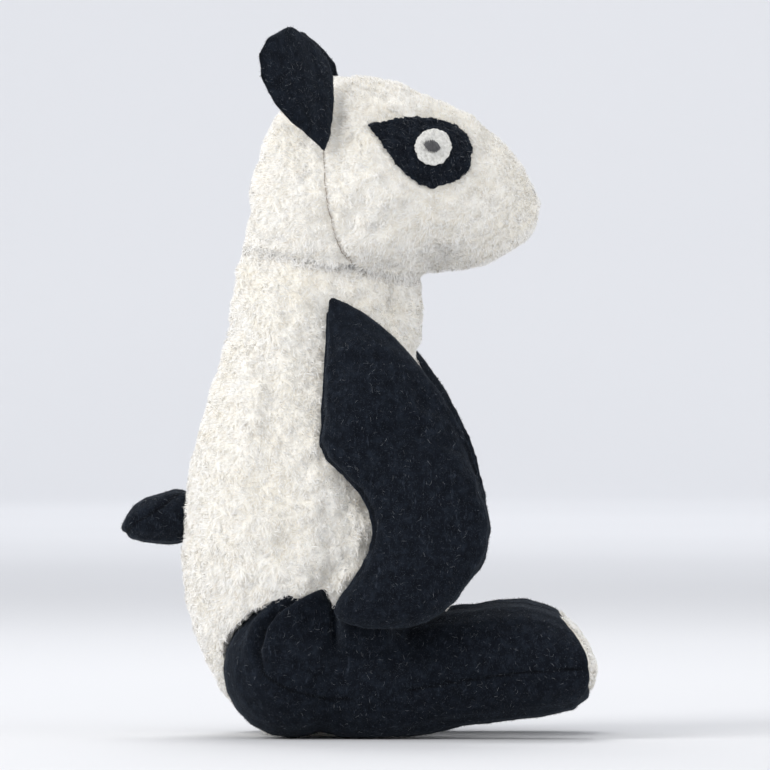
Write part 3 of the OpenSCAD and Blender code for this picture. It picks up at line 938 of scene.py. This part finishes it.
def arm_seam(side, sign, v):
    """The rolled seam that joins the straight back edge of an arm to the body."""
    edge = []
    for z in np.arange(100.0, 150.5, 1.5):
        level = v[np.abs(v[:, 2] - z) < 1.2]
        edge.append(level[np.argmax(level[:, 1])])
    edge = np.array(edge)
    for _ in range(6):
        edge[1:-1] = 0.5 * edge[1:-1] + 0.25 * (edge[:-2] + edge[2:])
    roll_v, roll_q = tubes([edge + [-1.2 * sign, -0.8, 0.0]], 1.5, 10)
    roll_v += 0.25 * (noise(roll_v, 3.0, 5) - 0.5)[:, None]
    o = build(f"arm_{side}_seam_roll", roll_v, roll_q)
    paint(o, seam=np.zeros(len(roll_v)))
    dress(o, FELT, "torso")


def leg_pin(p):
    """Holds the underside of a leg and the round of the hip."""
    from_hip = np.hypot(p[:, 1] - 22.75, p[:, 2] - 23.8)
    return np.clip(step(p[:, 2], 5, 1) + step(from_hip, 27, 24.5), 0, 1)


def thigh_folds(sign):
    """Gathers where the thigh meets the arm, and the fold that runs along its upper seam at the hip."""
    def shape(v, n, s):
        x, y, z = sign * v[:, 0], v[:, 1], v[:, 2]
        outer = step(x, 22, 36)
        upper = step(z, 24, 32)
        phase = y + 1.6 * (noise(v, 6.0, 9) - 0.5) + 0.12 * (z - 36)
        wave = np.sin(phase * 2 * math.pi / 6.6)
        gathers = 1.2 * wave * bell(z - 37, 6.0) * step(y, -20, -11) * step(y, 12, 7) * outer
        dip = -2.6 * bell(y - 7.0, 1.5) * bell(z - 38, 6.5) * outer
        deep = -2.2 * bell(s, 1.3) * upper * step(y, 3, 8)
        ridge = 1.7 * bell(s - 3.4, 2.4) * upper * step(y, 4, 10)
        return gathers + dip + deep + ridge
    return shape


def leg_warp(sign):
    """Fits the felt of a leg to the arm above it, and each foot to its own length."""
    def warp(v):
        x, y, z = sign * v[:, 0], v[:, 1], v[:, 2]
        out = v.copy()
        # the strip above the upper seam of the thigh rises towards the arm
        close = 1 - step(y, 4, 18)
        strip = step(x, 26, 42) * step(z + 4 * close, 33, 42) * step(y, 40, 14) * step(y, -18, 5)
        out[:, 2] += (8.5 + 1.5 * close) * strip
        out[:, 0] += sign * (5.0 + 1.5 * close) * strip
        # the thigh swells out under the end of the arm
        swell = step(x, 28, 44) * step(z, 27, 35) * step(y, -19, -12) * step(y, 8, 2)
        out[:, 2] += 3.0 * swell
        out[:, 0] += sign * 6.5 * swell
        # the top of the shin rises to the front edge of the arm
        out[:, 2] += 2.4 * step(x, 22, 30) * step(z, 29, 37) * step(y, -6, -14) * step(y, -40, -28)
        out[:, 1] += (1.6 if sign > 0 else -0.9) * step(y, -50, -80)
        return out
    return warp


def past_sole(v, side):
    """How far each point is behind the edge of the sole, which is a shallow curve in the side view."""
    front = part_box(f"leg_{side}_sole")[0][1] / MM
    return v[:, 1] - (front + 2.7 + 0.021 * (v[:, 2] - 20) ** 2)


def sole_pile(side, sign, v, q, plain):
    rng = np.random.default_rng(70 + sign)
    foot = v[q].mean(1)[:, 1] < -66
    p, m, t, w = roots(v, q[foot], normals(v, q), DENSE * 1.2, rng)
    ok = past_sole((plain[t] * w[:, :, None]).sum(1), side) < -0.2
    p, m = p[ok], m[ok]
    comb = np.tile([0.0, 0.2, -1.0], (len(p), 1))
    *mesh, tone = blades(p, m, comb, 1.9, 0.26, rng, clump=2.4, rise=0.55, seed=71, low=PILE_FLOOR)
    o = build(f"leg_{side}_sole_pile", *mesh)
    paint(o, tone=tone)
    dress(o, PILE, f"leg_{side}")


def ear_pinch(sign):
    """The soft crease that runs up the outside of the ear from its root, between two rolls."""
    def shape(v, n, s):
        path = (18, 243), (13.5, 229), (12.5, 207)
        far = np.minimum(along(v, path[0], path[1])[1], along(v, path[1], path[2])[1])
        outside = step(sign * n[:, 0], -0.1, 0.4)
        return (0.25 * bell(far - 4.2, 2.4) - 0.3 * bell(far, 1.6)) * outside
    return shape


def fuller(v):
    """Gives the calmed ear back the size of its sheets, growing from its lower root."""
    root = np.array([0.0, 12.5, 207.0])
    return root + (v - root) * np.array([1.0, 1.07, 1.06])


SIDES = (("left", 1), ("right", -1))

for side, sign in SIDES:
    sheets = [f"arm_{side}_outer", f"arm_{side}_inner"]
    arm = felt_skin(f"arm_{side}_felt", sheets + [f"arm_{side}_stuffing"], sheets, f"arm_{side}", 0.95,
                    arm_pin, 50 + sign, depth=0.6)
    arm_seam(side, sign, arm[0])

for side, sign in SIDES:
    sheets = [f"leg_{side}_upper", f"leg_{side}_lower", f"leg_{side}_sole"]
    leg = felt_skin(f"leg_{side}_felt", sheets + [f"leg_{side}_stuffing"], sheets, f"leg_{side}", 1.0,
                    leg_pin, 60 + sign, depth=1.1, mat=FELT_AND_SOLE,
                    shape=thigh_folds(sign), warp=leg_warp(sign),
                    marks=lambda o, plain, side=side: paint(o, sole=past_sole(plain, side)))
    sole_pile(side, sign, *leg)

sheets = ["tail_upper", "tail_lower"]
felt_skin("tail_felt", sheets + ["tail_stuffing"], sheets, "tail", 0.6, lambda p: step(p[:, 1], 68, 65), 80,
          depth=0.5, calm=16, lint=0.12, sim=False)

for side, sign in SIDES:
    sheets = [f"ear_{side}_front", f"ear_{side}_back"]
    felt_skin(f"ear_{side}_felt", sheets, sheets, f"ear_{side}", 0.55, lambda p: np.zeros(len(p)), 90 + sign,
              depth=0.35, calm=130, lint=0.22, sim=False, shape=ear_pinch(sign), warp=fuller)


# ---------- eyes and nose ----------
def felt_patch(name, mat, voxel, seed, rag):
    """A piece of felt laid on the face, its cut edge a little ragged."""
    v, q = shell([name], voxel)
    v = relax(v, q, 24)
    coarse, fine = noise(v, 1.5, seed) - 0.45, noise(v, 0.7, seed + 1) - 0.5
    v = v + normals(v, q) * (rag * coarse + 0.8 * rag * fine)[:, None]
    o = build(f"{name}_felt", v, q)
    paint(o, seam=np.zeros(len(v)))
    dress(o, mat, "head", nodes=[name])
    return v, q


def fill_gaps(line, c):
    """Works out the missing values in one column of a line from the ones beside them."""
    places = np.arange(len(line))
    good = ~np.isnan(line[:, c])
    line[:, c] = np.interp(places, places[good], line[good, c])


def satin_pupil(side, sign):
    """Grey threads laid side by side over the small pad of the pupil."""
    low, high = (np.array(x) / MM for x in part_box(f"pupil_{side}"))
    tree = tree_of(*cad(f"pupil_{side}"))
    mid = (low + high) / 2
    half_w, half_h = (high[1] - low[1]) / 2, (high[2] - low[2]) / 2
    rng = np.random.default_rng(130)
    rows, links, sides = 15, 9, 7
    t = np.linspace(-1, 1, links)
    lines, radii = [], []
    for i in range(rows):
        a = (i + 0.5) / rows * 2 - 1
        h = half_h * math.sqrt(max(1 - a * a, 0.04)) * (0.9 + 0.25 * rng.random())
        y = mid[1] + a * half_w * 0.8
        start_x = np.full(links, mid[0] + sign * 8)
        line = np.stack([start_x, y + 0.5 * t + 0.08 * rng.normal(), mid[2] + h * t], 1)
        hits = [tree.ray_cast(x, (-sign, 0, 0))[0] for x in line]
        line[:, 0] = [np.nan if hit is None else hit[0] for hit in hits]
        if np.isnan(line[:, 0]).all():
            continue
        fill_gaps(line, 0)
        line[:, 0] += sign * (0.15 - 0.55 * t**4)
        lines.append(line)
        radii.append(0.24 + 0.06 * rng.random())
    v, q = tubes(lines, radii, sides)
    o = build(f"pupil_{side}_stitch", v, q)
    of_thread = np.repeat(rng.random(len(lines)) * 0.3, links * sides)
    paint(o, tone=np.clip(0.25 + 0.5 * noise(v, 0.7, 8) + of_thread, 0, 1))
    dress(o, EYE_THREAD, "head", nodes=[f"pupil_{side}"])


def nose_stitches(head):
    """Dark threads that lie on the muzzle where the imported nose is: the two arms of a Y, and its foot."""
    tree = tree_of(head.v, head.q)
    low, high = (np.array(x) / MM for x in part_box("nose"))
    top, half_w = high[2], (high[0] - low[0]) / 2
    fork = (low[2] + high[2]) / 2 - 0.2
    lines = []

    def on_cloth(x, z):
        hit = tree.ray_cast((x, low[1] - 20, z), (0, 1, 0))[0]
        return np.nan if hit is None else hit[1]

    def lay(line):
        line = np.array(line)
        if (~np.isnan(line[:, 1])).sum() > 2:
            fill_gaps(line, 1)
            line[:, 1] -= 0.8
            lines.append(line)

    for sign in (-1, 1):
        for k in range(4):
            line = []
            for t in np.linspace(0, 1, 10):
                x, z = sign * half_w * 0.95 * (1 - t), top - 0.6 - 0.495 * k - (top - fork - 1.2) * t
                y = on_cloth(x, z)
                line.append([x, on_cloth(x * 0.96, z - 0.2) if np.isnan(y) else y, z])
            lay(line)
    for k in range(2):
        heights = fork - 0.4 + (low[2] + 0.3 - (fork - 0.4)) * np.linspace(0, 1, 8)
        lay([[0.35 * (k - 0.5), on_cloth(0.12 * (k - 0.5), z), z] for z in heights])
    v, q = tubes(lines, 0.26, 7)
    o = build("nose_stitch", v, q)
    paint(o, tone=0.2 + 0.6 * noise(v, 0.8, 4))
    dress(o, DARK_THREAD, "head", nodes=["nose"])


for side, sign in SIDES:
    v, q = felt_patch(f"eye_patch_{side}", FELT, 0.4, 100 + sign, 0.9)
    lint_on(f"eye_patch_{side}", v, q, "head", 0.35, 112 + sign, nap=2.6, nap_len=0.7,
            keep=lambda p, s=sign: s * p[:, 0] > 0)
    felt_patch(f"eye_white_{side}", WHITE, 0.3, 120 + sign, 0.7)
    satin_pupil(side, sign)
nose_stitches(head_skin)


# ---------- studio ----------
def sweep():
    """A seamless paper backdrop: floor, curve and wall, all far larger than the view."""
    curve, wall_x, half_width = 1.6, 6.6, 12.0
    profile = [(x, 0.0) for x in (-14.0, -4.0, -1.0, 1.0, 4.6)]
    for a in np.radians(np.arange(0, 91, 6)):
        profile.append((wall_x - curve + curve * math.sin(a), curve - curve * math.cos(a)))
    profile += [(wall_x, 4.0), (wall_x, 7.0)]
    v, q = [], []
    for i, (x, z) in enumerate(profile):
        v += [(x, -half_width, z), (x, half_width, z)]
        if i:
            q.append((2 * i - 2, 2 * i - 1, 2 * i + 1, 2 * i))
    o = build("sweep", np.array(v) / MM, np.array(q))
    m, nt, b = material("paper")
    stops = [(0.3, (0.735, 0.742, 0.762)), (0.7, (0.755, 0.762, 0.782))]
    nt.links.new(ramp(nt, grain(nt, object_at(nt), 1.2, 1), stops), b.inputs["Base Color"])
    finish(b, 0.85, 0.1, None)
    o.data.materials.append(m)


def sky(scene):
    """The even light of a bright room."""
    scene.world = bpy.data.worlds.new("studio")
    scene.world.use_nodes = True
    background = scene.world.node_tree.nodes["Background"]
    background.inputs["Color"].default_value = (0.945, 0.96, 1.0, 1)
    background.inputs["Strength"].default_value = 0.62


def point_at(o, place, aim):
    o.location = place
    o.rotation_euler = (Vector(aim) - Vector(place)).to_track_quat("-Z", "Y").to_euler()


def lamp(scene, name, place, aim, size, power, colour):
    """A square soft box."""
    d = bpy.data.lights.new(name, "AREA")
    d.shape, d.size, d.energy, d.color = "SQUARE", size, power, colour
    o = bpy.data.objects.new(name, d)
    scene.collection.objects.link(o)
    point_at(o, place, aim)


def camera(scene):
    """Looks at the toy's right side from 4 m, level with its middle."""
    d = bpy.data.cameras.new("camera")
    o = bpy.data.objects.new("camera", d)
    scene.collection.objects.link(o)
    turn, rise, far, seen = math.radians(2.2), math.radians(0.4), 4.0, 0.2695
    aim = np.array([0.0, -0.0086, 0.1225])
    way = np.array([-math.cos(turn) * math.cos(rise), -math.sin(turn) * math.cos(rise), math.sin(rise)])
    point_at(o, aim + way * far, aim)
    d.sensor_width = 36
    d.lens = d.sensor_width * far / seen
    d.clip_end = 40
    scene.camera = o


def studio():
    scene = bpy.context.scene
    toy = (0, 0, 0.13)
    sweep()
    sky(scene)
    lamp(scene, "key", (-1.0, 1.3, 1.15), toy, 1.1, 22, (1, 0.988, 0.968))
    lamp(scene, "top", (0.95, 0.1, 1.5), toy, 0.8, 11, (1, 0.995, 0.985))
    lamp(scene, "floor", (1.9, 0, 1.9), (1.9, 0, 0), 1.6, 4.5, (0.98, 0.985, 1))
    lamp(scene, "fill", (-0.8, -1.8, 0.15), toy, 1.5, 17, (1, 0.995, 0.98))
    lamp(scene, "wall", (3.4, 0.0, 2.8), (6.4, 0, 0.7), 2.2, 60, (0.98, 0.985, 1))
    scene.view_settings.view_transform = "Standard"
    scene.view_settings.look = "None"
    camera(scene)


studio()
